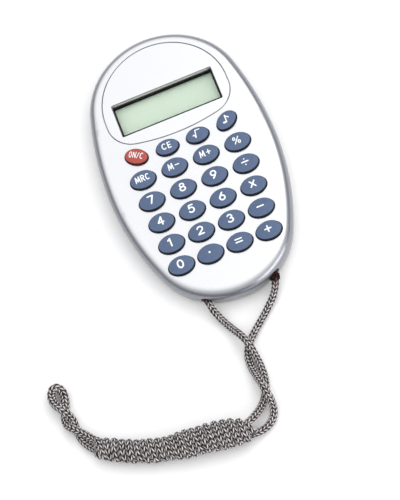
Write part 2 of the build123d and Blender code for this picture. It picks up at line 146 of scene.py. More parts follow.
# Material helpers
class Shader:
    """A new material with one Principled shader, and short calls to add nodes to it."""

    def __init__(self, name, colour, roughness=0.5, specular=0.5, **sockets):
        self.material = bpy.data.materials.new(name)
        self.material.use_nodes = True
        self.tree = self.material.node_tree
        self.shader = self.tree.nodes["Principled BSDF"]
        self.shader.inputs["Base Color"].default_value = (*colour, 1.0)
        self.shader.inputs["Roughness"].default_value = roughness
        self.shader.inputs["Specular IOR Level"].default_value = specular
        for socket, value in sockets.items():
            self.shader.inputs[socket.replace("_", " ").title()].default_value = value
        self.position = self.add("ShaderNodeTexCoord").outputs["Object"]

    def add(self, kind, **settings):
        node = self.tree.nodes.new(kind)
        for name, value in settings.items():
            setattr(node, name, value)
        return node

    def link(self, source, target):
        self.tree.links.new(source, target)

    def noise(self, scale, detail=2.0, stretch=(1.0, 1.0, 1.0)):
        mapping = self.add("ShaderNodeMapping")
        mapping.inputs["Scale"].default_value = stretch
        self.link(self.position, mapping.inputs["Vector"])
        texture = self.add("ShaderNodeTexNoise")
        texture.inputs["Scale"].default_value = scale
        texture.inputs["Detail"].default_value = detail
        self.link(mapping.outputs["Vector"], texture.inputs["Vector"])
        return texture.outputs["Fac"]

    def bands(self, scale, distortion=0.0, direction="X"):
        wave = self.add("ShaderNodeTexWave", wave_type="BANDS", bands_direction=direction)
        wave.inputs["Scale"].default_value = scale
        wave.inputs["Distortion"].default_value = distortion
        self.link(self.position, wave.inputs["Vector"])
        return wave.outputs["Fac"]

    def normal_z(self):
        """How far the surface faces up: 1 on a level top and 0 on an upright side."""
        parts = self.add("ShaderNodeSeparateXYZ")
        self.link(self.add("ShaderNodeTexCoord").outputs["Normal"], parts.inputs[0])
        return parts.outputs["Z"]

    def mix(self, share, first, second):
        """A colour between two others: the first at a share of 0 and the second at 1."""
        node = self.add("ShaderNodeMix", data_type="RGBA")
        self.link(share, node.inputs["Factor"])
        self.link(first, node.inputs["A"])
        self.link(second, node.inputs["B"])
        return node.outputs["Result"]

    def ramp(self, source, *stops):
        """Map a value to colours given as (position, colour) stops."""
        node = self.add("ShaderNodeValToRGB")
        elements = node.color_ramp.elements
        while len(elements) < len(stops):
            elements.new(0.5)
        for element, (position, colour) in zip(elements, stops):
            element.position = position
            element.color = (*colour, 1.0)
        self.link(source, node.inputs["Fac"])
        return node.outputs["Color"]

    def vary_colour(self, source, dark, light, low=0.3, high=0.7):
        self.link(self.ramp(source, (low, dark), (high, light)), self.shader.inputs["Base Color"])

    def map_range(self, source, from_low, from_high, to_low, to_high):
        span = self.add("ShaderNodeMapRange")
        limits = (from_low, from_high, to_low, to_high)
        for socket, limit in zip(("From Min", "From Max", "To Min", "To Max"), limits):
            span.inputs[socket].default_value = limit
        self.link(source, span.inputs["Value"])
        return span.outputs["Result"]

    def vary_roughness(self, source, low, high):
        self.link(self.map_range(source, 0.0, 1.0, low, high), self.shader.inputs["Roughness"])

    def math(self, operation, first, second=None):
        """A Math node of one or two operands, each a number or another node's output."""
        node = self.add("ShaderNodeMath", operation=operation)
        for socket, value in zip(node.inputs, (first, second)):
            if isinstance(value, (int, float)):
                socket.default_value = value
            elif value is not None:
                self.link(value, socket)
        return node.outputs[0]

    def bump(self, source, strength, depth):
        bump = self.add("ShaderNodeBump")
        bump.inputs["Strength"].default_value = strength
        bump.inputs["Distance"].default_value = depth
        self.link(source, bump.inputs["Height"])
        self.link(bump.outputs["Normal"], self.shader.inputs["Normal"])


def shade(colour, factor):
    return tuple(min(1.0, part * factor) for part in colour)


def make_floor_material():
    paper = Shader("studio_paper", (0.93, 0.93, 0.93), 0.9)
    paper.vary_colour(paper.noise(40.0), (0.925, 0.925, 0.925), (0.935, 0.935, 0.935))
    return paper.material


add_studio()


# Neck cord. One knitted cord, knotted in the case at both ends: down the left strand, through
# the hank, round the twisted end loop, back through the hank, round and round it, through it
# once more and up the right strand. Points are in metres.
cord_diameter = 0.0028
left_strand = (
    (-0.0140, -0.0509, 0.0046),
    (-0.0138, -0.0586, 0.0042),
    (-0.0112, -0.0654, 0.0017),
    (-0.0084, -0.0712, 0.0029),
    (-0.0065, -0.0756, 0.0054),
    (-0.0050, -0.0802, 0.0053),
    (-0.0042, -0.0860, 0.0020),
    (-0.0040, -0.0918, 0.0015),
    (-0.0052, -0.0972, 0.0015),
    (-0.0076, -0.1018, 0.0016),
    (-0.0108, -0.1056, 0.0032),
    (-0.0144, -0.1086, 0.0054),
    (-0.0184, -0.1104, 0.0060),
)
right_strand = (
    (0.0140, -0.0509, 0.0046),
    (0.0138, -0.0574, 0.0044),
    (0.0108, -0.0632, 0.0024),
    (0.0054, -0.0682, 0.0015),
    (0.0002, -0.0728, 0.0016),
    (-0.0046, -0.0772, 0.0015),
    (-0.0074, -0.0820, 0.0015),
    (-0.0077, -0.0876, 0.0016),
    (-0.0070, -0.0922, 0.0032),
    (-0.0064, -0.0960, 0.0054),
    (-0.0056, -0.1004, 0.0053),
    (-0.0050, -0.1056, 0.0024),
    (-0.0070, -0.1104, 0.0015),
    (-0.0120, -0.1132, 0.0020),
    (-0.0180, -0.1134, 0.0032),
)
end_loop = (
    (-0.0693, -0.0972, 0.0040),
    (-0.0720, -0.0966, 0.0026),
    (-0.0746, -0.0934, 0.0018),
    (-0.0767, -0.0896, 0.0015),
    (-0.0774, -0.0851, 0.0015),
    (-0.0770, -0.0802, 0.0026),
    (-0.0795, -0.0760, 0.0046),
    (-0.0818, -0.0720, 0.0034),
    (-0.0820, -0.0680, 0.0030),
    (-0.0795, -0.0653, 0.0034),
    (-0.0771, -0.0680, 0.0026),
    (-0.0777, -0.0724, 0.0018),
    (-0.0794, -0.0762, 0.0015),
    (-0.0806, -0.0810, 0.0020),
    (-0.0776, -0.0853, 0.0045),
    (-0.0745, -0.0884, 0.0034),
    (-0.0721, -0.0916, 0.0026),
    (-0.0694, -0.0946, 0.0044),
)
hank_line = (
    (-0.0742, -0.0938, 0.0049),
    (-0.0660, -0.0994, 0.0049),
    (-0.0570, -0.1038, 0.0049),
    (-0.0474, -0.1068, 0.0049),
    (-0.0380, -0.1083, 0.0049),
    (-0.0276, -0.1096, 0.0049),
    (-0.0152, -0.1124, 0.0049),
)
# The hank: the radius of its turns from the left end to the right, how much lower than wide
# they are, and how far each leans along the hank. The turns run from right to left, and those
# in the last eighth lean the most.
hank_swell = (0.0025, 0.0033, 0.0035, 0.0034, 0.0037, 0.0043, 0.0045, 0.0044, 0.0033)
hank_flatness = 0.85
hank_turns = 21
hank_slant = 0.0005
end_slant = 0.0022
end_share = 1.0 / 8.0
turns_from, turns_to = 0.985, 0.030
turn_start_angle = math.radians(150)
first_turn_fullness = 0.62
turn_looseness = 0.00018
turn_pitch = (0.85, 1.15)
points_per_turn = 12
# The three runs inside the turns, each at its own angle round the hank's axis
core_radius = 0.00115
core_angles = [math.radians(angle) for angle in (60, 150, 240)]
core_points = 7
core_left, core_right = 0.03, 0.95
last_core_left = 0.06
axis_step = 0.0005
axis_resolution = 16
cord_resolution = 12
slack_seed = 5


def read_route(points, resolution):
    """Points along the smooth NURBS line whose control points are given."""
    curve = bpy.data.curves.new("route", "CURVE")
    curve.dimensions = "3D"
    spline = curve.splines.new("NURBS")
    spline.points.add(len(points) - 1)
    for point, place in zip(spline.points, points):
        point.co = (*place, 1.0)
    spline.order_u = 3
    spline.use_endpoint_u = True
    spline.resolution_u = resolution
    holder = bpy.data.objects.new("route", curve)
    mesh = bpy.data.meshes.new_from_object(holder)
    line = np.array([vertex.co for vertex in mesh.vertices])
    bpy.data.meshes.remove(mesh)
    bpy.data.objects.remove(holder)
    bpy.data.curves.remove(curve)
    return line


def even_steps(line, step):
    """The same line with points a step apart."""
    runs = np.linalg.norm(np.diff(line, axis=0), axis=1)
    travelled = np.concatenate(([0.0], np.cumsum(runs)))
    stations = np.linspace(0.0, travelled[-1], round(travelled[-1] / step) + 1)
    return np.column_stack([np.interp(stations, travelled, line[:, i]) for i in range(3)])


def in_hank(axis, share, angle, radius):
    """A point around the hank's axis. Angle 0 is the far side, and a quarter turn is the top."""
    place = share * (len(axis) - 1)
    index = min(int(place), len(axis) - 2)
    along = axis[index + 1] - axis[index]
    centre = axis[index] + along * (place - index)
    far = np.array((-along[1], along[0], 0.0)) / math.hypot(along[0], along[1])
    spot = centre + far * radius * math.cos(angle)
    lift = swell_at(share) * hank_flatness + cord_diameter / 2
    return (spot[0], spot[1], lift + radius * hank_flatness * math.sin(angle))


def swell_at(share):
    """The radius of the turns' centreline at a share of the hank's length, from the left."""
    stations = np.linspace(0.0, 1.0, len(hank_swell))
    return float(np.interp(share, stations, hank_swell))


def core_run(axis, start, end, angle):
    """Control points of one straight run inside the hank's turns."""
    shares = np.linspace(start, end, core_points)
    return [in_hank(axis, share, angle, core_radius) for share in shares]


def plan_cord():
    """All the control points of the cord's one spline."""
    axis = even_steps(read_route(hank_line, axis_resolution), axis_step)
    axis_length = float(np.linalg.norm(np.diff(axis, axis=0), axis=1).sum())
    random = np.random.default_rng(slack_seed)
    slack = random.normal(0.0, turn_looseness, hank_turns + 2)
    pitch = random.uniform(*turn_pitch, hank_turns + 1)
    reached = np.concatenate(([0.0], np.cumsum(pitch))) / pitch.sum()
    inward = core_run(axis, core_right, core_left, core_angles[0])
    outward = core_run(axis, core_left, core_right, core_angles[1])
    turns = []
    for step in range(hank_turns * points_per_turn + 1):
        turn = step / points_per_turn
        done = float(np.interp(turn, np.linspace(0.0, hank_turns, hank_turns + 2), reached))
        angle = turn_start_angle - math.tau * turn
        near_end = max(0.0, 1.0 - (1.0 - done) / end_share)
        slant = hank_slant + (end_slant - hank_slant) * near_end
        share = turns_from + (turns_to - turns_from) * done - slant / axis_length * math.cos(angle)
        looseness = float(np.interp(turn, range(hank_turns + 2), slack))
        fullness = min(1.0, first_turn_fullness + (1.0 - first_turn_fullness) * turn)
        radius = swell_at(share) * fullness + looseness
        turns.append(in_hank(axis, max(0.0, share), angle, radius))
    last = core_run(axis, last_core_left, core_right, core_angles[2])
    return [*left_strand, *inward, *end_loop, *outward, *turns, *last, *reversed(right_strand)]


# The knitted surface: V-shaped stitches in columns round the cord, a little looser at the
# loop's tip. Each end is soiled: the dirt starts to fade and is gone at so many stitches from it.
stitch_length = 0.0016
stitch_columns = 4
stitch_depth = 0.00030
mean_height = 0.45
leg_roundness, column_roundness = 0.7, 0.6
loop_tip = (-0.0795, -0.0653, 0.0034)
slack_reach = 0.012
slack_fullness = 0.28
soiled_left = (3.6, 4.4)
soiled_right = (4.5, 6.5)
ring_points = 32
ring_step = 0.0003
end_radius = cord_diameter / 4
floor_clearance = 0.00002
filaments_per_leg = 4.0
filament_depth = 0.06
fuzz_scale = 650.0
fuzz_depth = 0.95


def knit_height(around, along):
    """How far the knitted surface stands out, from 0 to 1, at stitch coordinates."""
    across = np.abs(around % 1.0 - 0.5)
    leg = 0.5 + 0.5 * np.cos(math.tau * (along + 2.0 * across))
    column = np.abs(np.sin(math.tau * across))
    return leg**leg_roundness * column**column_roundness


def tube_frames(line):
    """Two directions square to the line at each point, turned as little as possible."""
    ahead = np.gradient(line, axis=0)
    ahead /= np.linalg.norm(ahead, axis=1)[:, None]
    side = np.zeros_like(line)
    side[0] = np.cross(ahead[0], (0.0, 0.0, 1.0))
    for i in range(1, len(line)):
        carried = side[i - 1] - ahead[i] * np.dot(side[i - 1], ahead[i])
        side[i] = carried / np.linalg.norm(carried)
    side[0] /= np.linalg.norm(side[0])
    return side, np.cross(ahead, side)


def tube_mesh(name, line, radius):
    """A closed tube along a line, whose radius is given at each point of each ring."""
    side, up = tube_frames(line)
    count, sectors = radius.shape
    angles = np.arange(sectors) / sectors * math.tau
    ring = side[:, None, :] * np.cos(angles)[None, :, None]
    ring = ring + up[:, None, :] * np.sin(angles)[None, :, None]
    places = (line[:, None, :] + ring * radius[:, :, None]).reshape(-1, 3)
    places[:, 2] = np.maximum(places[:, 2], floor_clearance)
    faces = []
    for i in range(count - 1):
        for j in range(sectors):
            k = (j + 1) % sectors
            row, ahead_row = i * sectors, (i + 1) * sectors
            faces.append((row + j, row + k, ahead_row + k, ahead_row + j))
    faces.append(tuple(reversed(range(sectors))))
    faces.append(tuple(range((count - 1) * sectors, count * sectors)))
    mesh = bpy.data.meshes.new(name)
    mesh.from_pydata(places.tolist(), [], faces)
    mesh.polygons.foreach_set("use_smooth", [True] * len(mesh.polygons))
    return mesh


def add_stitch_uv(mesh, count):
    """UVs in stitches, columns around the cord and rows along it, for a mesh of count rings."""
    stitches = mesh.uv_layers.new(name="stitches")
    vertex = np.empty(len(mesh.loops), int)
    mesh.loops.foreach_get("vertex_index", vertex)
    loop = np.arange(len(mesh.loops))
    turn = (vertex % ring_points) / ring_points
    on_side = loop < 4 * ring_points * (count - 1)
    far_corner = (loop % 4 == 1) | (loop % 4 == 2)
    turn = np.where((turn == 0.0) & far_corner & on_side, 1.0, turn)
    row = (vertex // ring_points) * ring_step / stitch_length
    stitches.data.foreach_set("uv", np.column_stack((turn * stitch_columns, row)).ravel())


def build_cord():
    line = even_steps(read_route(plan_cord(), cord_resolution), ring_step)
    count = len(line)
    around = np.arange(ring_points) / ring_points * stitch_columns
    along = np.arange(count) * ring_step / stitch_length
    height = knit_height(around[None, :], along[:, None])
    tip = int(np.argmin(np.linalg.norm(line - np.array(loop_tip), axis=1)))
    from_tip = (np.arange(count) - tip) * ring_step / slack_reach
    fullness = 1.0 + slack_fullness * np.exp(-(from_tip**2))
    radius = cord_diameter / 2 * fullness[:, None] + stitch_depth * (height - mean_height)
    radius[0] = radius[-1] = end_radius
    mesh = tube_mesh("neck_cord", line, radius)
    add_stitch_uv(mesh, count)
    cord = bpy.data.objects.new("neck_cord", mesh)
    scene.collection.objects.link(cord)
    length = float(np.linalg.norm(np.diff(line, axis=0), axis=1).sum())
    mesh.materials.append(make_cord_material(length / stitch_length))
    print(f"neck cord length {length:.4f} m, {len(mesh.polygons)} faces")
    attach(cord, "case")
    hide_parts("cord_left", "cord_right", "cord_hank", "cord_tail")
    whipping = add_whipping(line)


# The whipping: dark thread wound round the right strand just outside the case, measured along
# the cord from its end. The thread beds into the cord by part of its own radius.
whipping_start = 0.0056
whipping_length = 0.0021
whipping_turns = 3
whipping_steps = 24
thread_radius = 0.00038
thread_seat = 0.6
thread_step = 0.00025
thread_sectors = 10


def add_whipping(line):
    side, up = tube_frames(line)
    reach = cord_diameter / 2 + thread_radius * thread_seat
    steps = whipping_turns * whipping_steps
    helix = []
    for step in range(steps + 1):
        share = step / steps
        index = -1 - round((whipping_start + whipping_length * share) / ring_step)
        angle = math.tau * whipping_turns * share
        outward = side[index] * math.cos(angle) + up[index] * math.sin(angle)
        helix.append(line[index] + outward * reach)
    helix = even_steps(np.array(helix), thread_step)
    radius = np.full((len(helix), thread_sectors), thread_radius)
    radius[0] = radius[-1] = thread_radius / 3
    mesh = tube_mesh("cord_whipping", helix, radius)
    whipping = bpy.data.objects.new("cord_whipping", mesh)
    scene.collection.objects.link(whipping)
    thread = Shader("whipping_thread", (0.02, 0.01, 0.008), 0.85, specular=0.1)
    thread.vary_colour(thread.noise(1800.0, 4.0), (0.002, 0.001, 0.001), (0.035, 0.014, 0.009))
    thread.bump(thread.noise(4000.0, 3.0), 0.5, 0.00008)
    mesh.materials.append(thread.material)
    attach(whipping, "case")
    return whipping


def make_cord_material(stitch_count):
    """Grey polyester: pale filaments with painted shade in the gaps between them, and dark soiled ends at
    the case.
    """
    yarn = Shader("cord_knit", (0.40, 0.38, 0.37), 0.62, specular=0.2, sheen_weight=0.1)
    stitch = yarn.add("ShaderNodeUVMap", uv_map="stitches")
    parts = yarn.add("ShaderNodeSeparateXYZ")
    yarn.link(stitch.outputs["UV"], parts.inputs[0])
    in_column = yarn.math("FRACT", parts.outputs["X"])
    across = yarn.math("ABSOLUTE", yarn.math("SUBTRACT", in_column, 0.5))
    phase = yarn.math("ADD", parts.outputs["Y"], yarn.math("MULTIPLY", across, 2.0))
    leg = yarn.math("COSINE", yarn.math("MULTIPLY", phase, math.tau))
    column = yarn.math("ABSOLUTE", yarn.math("SINE", yarn.math("MULTIPLY", across, math.tau)))
    stand = yarn.math("MULTIPLY", yarn.math("ADD", yarn.math("MULTIPLY", leg, 0.5), 0.5), column)
    filaments = yarn.math("SINE", yarn.math("MULTIPLY", phase, math.tau * filaments_per_leg))
    combed = yarn.math("ADD", stand, yarn.math("MULTIPLY", filaments, filament_depth))
    fuzz = yarn.math("SUBTRACT", yarn.noise(fuzz_scale, 4.0), 0.5)
    height = yarn.math("ADD", combed, yarn.math("MULTIPLY", fuzz, fuzz_depth))
    # Colour by the knit's height: near black in the gaps as painted shade, paler on the stitches' crowns.
    clean_yarn_with_gap_shade = yarn.ramp(
        height,
        (0.08, (0.006, 0.005, 0.005)),
        (0.32, (0.11, 0.097, 0.098)),
        (0.6, (0.50, 0.46, 0.455)),
        (0.9, (0.70, 0.66, 0.65)),
    )
    # The soiled ends: dark dirt, darkest in the gaps as painted shade.
    soiled = yarn.ramp(height, (0.2, (0.004, 0.002, 0.002)), (0.9, (0.16, 0.10, 0.08)))
    from_right = yarn.math("SUBTRACT", stitch_count, parts.outputs["Y"])
    left_clean = yarn.map_range(parts.outputs["Y"], *soiled_left, 0.0, 1.0)
    right_clean = yarn.map_range(from_right, *soiled_right, 0.0, 1.0)
    colour = yarn.mix(yarn.math("MINIMUM", left_clean, right_clean), soiled, clean_yarn_with_gap_shade)
    yarn.link(colour, yarn.shader.inputs["Base Color"])
    yarn.bump(height, 0.6, 0.0002)
    return yarn.material


build_cord()


# Key legends: strokes of white ink printed on the crowned tops of the keys. A glyph is a list of
# strokes in its own unit square, and sizes are in millimetres.
arc_step = 15.0


def arc(x, y, half_width, half_height, start, end):
    """Points along part of an ellipse, between two angles in degrees."""
    count = max(2, round(abs(end - start) / arc_step))
    angles = [math.radians(start + (end - start) * i / count) for i in range(count + 1)]
    return [(x + half_width * math.cos(a), y + half_height * math.sin(a)) for a in angles]


def turned(strokes):
    """The same strokes, turned by half a turn."""
    return [[(1.0 - x, 1.0 - y) for x, y in stroke] for stroke in strokes]


six = [[(0.72, 1.0), (0.36, 0.74), (0.10, 0.45)], arc(0.5, 0.31, 0.47, 0.31, 0, 360)]
glyphs = {
    "0": [arc(0.5, 0.5, 0.5, 0.5, 0, 360)],
    "1": [[(0.15, 0.78), (0.55, 1.0)], [(0.55, 1.0), (0.55, 0.0)]],
    "2": [[*arc(0.5, 0.70, 0.48, 0.30, 165, -40), (0.0, 0.0)], [(0.0, 0.0), (1.0, 0.0)]],
    "3": [[*arc(0.46, 0.75, 0.42, 0.25, 150, -80)], [*arc(0.46, 0.27, 0.50, 0.27, 80, -150)]],
    "4": [[(0.72, 0.0), (0.72, 1.0)], [(0.72, 1.0), (0.0, 0.30)], [(0.0, 0.30), (1.0, 0.30)]],
    "5": [[(0.90, 1.0), (0.20, 1.0)], [(0.20, 1.0), (0.12, 0.56)], arc(0.47, 0.33, 0.5, 0.33, 135, -150)],
    "6": six,
    "7": [[(0.0, 1.0), (1.0, 1.0)], [(1.0, 1.0), (0.38, 0.0)]],
    "8": [arc(0.5, 0.76, 0.38, 0.24, 0, 360), arc(0.5, 0.27, 0.48, 0.27, 0, 360)],
    "9": turned(six),
    "C": [arc(0.55, 0.5, 0.55, 0.5, 50, 310)],
    "E": [
        [(0.9, 1.0), (0.0, 1.0)],
        [(0.0, 1.0), (0.0, 0.0)],
        [(0.0, 0.0), (0.9, 0.0)],
        [(0.0, 0.5), (0.8, 0.5)],
    ],
    "M": [
        [(0.0, 0.0), (0.12, 1.0)],
        [(0.12, 1.0), (0.5, 0.15)],
        [(0.5, 0.15), (0.88, 1.0)],
        [(0.88, 1.0), (1.0, 0.0)],
    ],
    "N": [[(0.0, 0.0), (0.0, 1.0)], [(0.0, 1.0), (1.0, 0.0)], [(1.0, 0.0), (1.0, 1.0)]],
    "O": [arc(0.5, 0.5, 0.5, 0.5, 0, 360)],
    "R": [
        [(0.0, 0.0), (0.0, 1.0)],
        [(0.0, 1.0), *arc(0.5, 0.75, 0.45, 0.25, 90, -90), (0.0, 0.5)],
        [(0.45, 0.5), (1.0, 0.0)],
    ],
    "/": [[(0.0, 0.0), (1.0, 1.0)]],
    "minus": [[(0.0, 0.5), (1.0, 0.5)]],
    "plus": [[(0.0, 0.5), (1.0, 0.5)], [(0.5, 0.0), (0.5, 1.0)]],
    "equals": [[(0.0, 0.0), (1.0, 0.0)], [(0.0, 1.0), (1.0, 1.0)]],
    "multiply": [[(0.0, 0.0), (1.0, 1.0)], [(0.0, 1.0), (1.0, 0.0)]],
    "divide": [[(0.0, 0.5), (1.0, 0.5)], [(0.5, 0.0)], [(0.5, 1.0)]],
    "percent": [
        arc(0.17, 0.80, 0.17, 0.20, 0, 360),
        arc(0.83, 0.20, 0.17, 0.20, 0, 360),
        [(0.12, 0.0), (0.88, 1.0)],
    ],
    "point": [[(0.5, 0.5)]],
    "root": [
        [(0.0, 0.36), (0.13, 0.42)],
        [(0.13, 0.42), (0.30, 0.0)],
        [(0.30, 0.0), (0.45, 1.0)],
        [(0.45, 1.0), (1.0, 1.0)],
    ],
    "note": [
        [(0.02, 0.13), (0.40, 0.15)],
        [(0.06, 0.03), (0.44, 0.05)],
        [(0.52, 0.08), (0.52, 1.0)],
        [(0.52, 1.0), (0.62, 0.84), (0.84, 0.72), (1.0, 0.58)],
    ],
}

# A legend is its stroke's width, the gap between its glyphs, and each glyph with its size
digit_size, digit_stroke = (2.1, 3.2), 0.60
letter_stroke = 0.43
sign_stroke = 0.56
small_letter, small_stroke = (0.92, 2.4), 0.28
legends = {
    "on_clear": (
        small_stroke,
        0.66,
        [("O", small_letter), ("N", (1.02, 2.4)), ("/", (0.55, 2.4)), ("C", small_letter)],
    ),
    "clear_entry": (letter_stroke, 0.90, [("C", (1.45, 2.4)), ("E", (1.15, 2.4))]),
    "square_root": (0.40, 0.0, [("root", (3.1, 3.2))]),
    "tone": (0.44, 0.0, [("note", (2.6, 3.3))]),
    "memory_recall": (letter_stroke, 0.72, [("M", (1.65, 2.5)), ("R", (1.15, 2.5)), ("C", (1.15, 2.5))]),
    "memory_minus": (letter_stroke, 1.05, [("M", (1.75, 2.6)), ("minus", (1.45, 1.8))]),
    "memory_plus": (letter_stroke, 1.05, [("M", (1.75, 2.6)), ("plus", (1.45, 1.8))]),
    "percent": (0.40, 0.0, [("percent", (2.6, 2.9))]),
    "divide": (sign_stroke, 0.0, [("divide", (2.5, 2.6))]),
    "multiply": (sign_stroke, 0.0, [("multiply", (1.9, 2.5))]),
    "minus": (sign_stroke, 0.0, [("minus", (2.5, 2.5))]),
    "plus": (sign_stroke, 0.0, [("plus", (2.4, 2.5))]),
    "equals": (sign_stroke, 0.0, [("equals", (2.5, 1.3))]),
    "point": (0.85, 0.0, [("point", (0.1, 0.1))]),
}
digit_keys = ("zero", "one", "two", "three", "four", "five", "six", "seven", "eight", "nine")
for digit, key_name in enumerate(digit_keys):
    legends[key_name] = (digit_stroke, 0.0, [(str(digit), digit_size)])
legend_turns = {"on_clear": -32.0}
legend_shift = (-0.15, 0.4)
crown_radius = 26.0
ink_height = 0.03
ink_layer = 0.004
ink_step = 0.25
ring_tolerance = 0.000001
stroke_end_angles = [math.radians(angle) for angle in (85, 60, 30)]


def fine_points(stroke):
    """The stroke's points with more between them, at most ink_step apart."""
    points = [np.array(stroke[0])]
    for start, end in zip(stroke, stroke[1:]):
        start, end = np.array(start), np.array(end)
        count = max(1, math.ceil(np.linalg.norm(end - start) / ink_step))
        points += [start + (end - start) * i / count for i in range(1, count + 1)]
    return points


def ink_stations(stroke, half_stroke):
    """Places along one stroke as (centre, sideways half width), and whether it is a closed ring."""
    points = fine_points(stroke)
    closed = len(points) > 2 and np.linalg.norm(points[0] - points[-1]) < ring_tolerance
    stations = []
    for i, point in enumerate(points):
        before = points[i - 1] if i else points[-2] if closed else point
        after = points[i + 1] if i + 1 < len(points) else points[1] if closed else point
        along = after - before if len(points) > 1 else np.array((1.0, 0.0))
        along = along / np.linalg.norm(along)
        stations.append((point, along, np.array((-along[1], along[0])) * half_stroke))
    if closed:
        return [(point, side) for point, _, side in stations[:-1]], True
    middle = [(point, side) for point, _, side in stations]
    tail = [rounded_end(*stations[0], -half_stroke, angle) for angle in stroke_end_angles]
    head = [rounded_end(*stations[-1], half_stroke, angle) for angle in reversed(stroke_end_angles)]
    return [*tail, *middle, *head], False


def rounded_end(point, along, side, half_stroke, angle):
    """One place on the round end of a stroke, as (centre, sideways half width)."""
    return point + along * half_stroke * math.sin(angle), side * math.cos(angle)


def add_stroke(form, stroke, stroke_width, height, lift_to_crown):
    """Add one stroke of ink to a mesh as a thin closed ribbon that follows the key's crown."""
    stations, closed = ink_stations(stroke, stroke_width / 2)
    rings = []
    for centre, side in stations:
        edges = (centre + side, centre - side)
        corners = [lift_to_crown(edge, rise) for rise in (height, -ink_height) for edge in edges]
        rings.append([form.verts.new(corners[i]) for i in (0, 1, 3, 2)])
    pairs = list(zip(rings, rings[1:]))
    if closed:
        pairs.append((rings[-1], rings[0]))
    for ring, ahead in pairs:
        for i in range(4):
            j = (i + 1) % 4
            form.faces.new((ring[i], ring[j], ahead[j], ahead[i]))
    if not closed:
        form.faces.new(rings[0])
        form.faces.new(rings[-1])


def print_legend(key_name, ink):
    stroke_width, gap, row = legends[key_name]
    low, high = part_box("key_" + key_name)
    centre = ((low[0] + high[0]) / 2, (low[1] + high[1]) / 2)
    turn = math.radians(legend_turns.get(key_name, 0.0))

    def lift_to_crown(place, rise):
        x, y = place
        drop = crown_radius - math.sqrt(crown_radius**2 - x**2 - y**2)
        across = (x * math.cos(turn) - y * math.sin(turn)) * MM
        up = (x * math.sin(turn) + y * math.cos(turn)) * MM
        return (centre[0] + across, centre[1] + up, high[2] + (rise - drop) * MM)

    form = bmesh.new()
    total = sum(size[0] for _, size in row) + gap * (len(row) - 1)
    left = legend_shift[0] - total / 2
    layer = 0
    for glyph, (width, height) in row:
        foot = legend_shift[1] - height / 2
        for unit_stroke in glyphs[glyph]:
            stroke = [(left + x * width, foot + y * height) for x, y in unit_stroke]
            add_stroke(form, stroke, stroke_width, ink_height + layer * ink_layer, lift_to_crown)
            layer += 1
        left += width + gap
    bmesh.ops.recalc_face_normals(form, faces=form.faces)
    mesh = bpy.data.meshes.new("legend_" + key_name)
    form.to_mesh(mesh)
    form.free()
    legend = bpy.data.objects.new("legend_" + key_name, mesh)
    scene.collection.objects.link(legend)
    mesh.materials.append(ink)
    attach(legend, "key_" + key_name)


def make_ink():
    ink = Shader("legend_ink", (0.90, 0.92, 0.95), 0.5)
    ink.vary_colour(ink.noise(1500.0, 3.0), (0.84, 0.86, 0.90), (0.94, 0.96, 0.98))
    return ink.material


white_ink = make_ink()
for key_name in legends:
    print_legend(key_name, white_ink)


# The display's border: a thin black frame on the front glass that darkens the edges of the window, widest
# below the digits, in metres. It lies just inside the window.
display_half = (0.02044, 0.00694)
display_centre_y = 0.0283
border_height = 0.00003
border_sides = 0.00015
border_below = 0.00170
border_corner = 0.0003
border_corner_steps = 4
weld_distance = 0.000001


def add_display_border(material):
    low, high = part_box("lcd_reflector")
    centre_x = ((low + high) / 2).x
    glass_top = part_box("lcd_front_glass")[1].z
    half_x, half_y = display_half
    outer = ((half_x, half_y), (-half_x, half_y), (-half_x, -half_y), (half_x, -half_y))
    inset_x = half_x - border_sides - border_corner
    top = half_y - border_sides - border_corner
    bottom = -half_y + border_below + border_corner
    corner_centres = ((inset_x, top), (-inset_x, top), (-inset_x, bottom), (inset_x, bottom))
    form = bmesh.new()
    levels = []
    for height in (glass_top, glass_top + border_height):
        ring = []
        for quarter, (x, y) in enumerate(corner_centres):
            outer_x, outer_y = outer[quarter]
            for i in range(border_corner_steps + 1):
                angle = (quarter + i / border_corner_steps) * math.pi / 2
                across = x + border_corner * math.cos(angle)
                up = y + border_corner * math.sin(angle)
                inner = form.verts.new((centre_x + across, display_centre_y + up, height))
                corner = form.verts.new((centre_x + outer_x, display_centre_y + outer_y, height))
                ring.append((corner, inner))
        levels.append(ring)
    below, above = levels
    for i in range(len(below)):
        j = (i + 1) % len(below)
        for ring in levels:
            form.faces.new((ring[i][0], ring[j][0], ring[j][1], ring[i][1]))
        for side in (0, 1):
            form.faces.new((below[i][side], below[j][side], above[j][side], above[i][side]))
    bmesh.ops.remove_doubles(form, verts=form.verts, dist=weld_distance)
    bmesh.ops.recalc_face_normals(form, faces=form.faces)
    mesh = bpy.data.meshes.new("display_border")
    form.to_mesh(mesh)
    form.free()
    border = bpy.data.objects.new("display_border", mesh)
    scene.collection.objects.link(border)
    mesh.materials.append(material)
    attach(border, "case")


# Materials of the design's own nodes. The keys' painted side shade takes over where their edges turn
# down, between two values of the upward part of the surface's direction.
flake_scale = 6000.0
flake_tilt = 0.006
side_shade_edge = (0.80, 0.965)


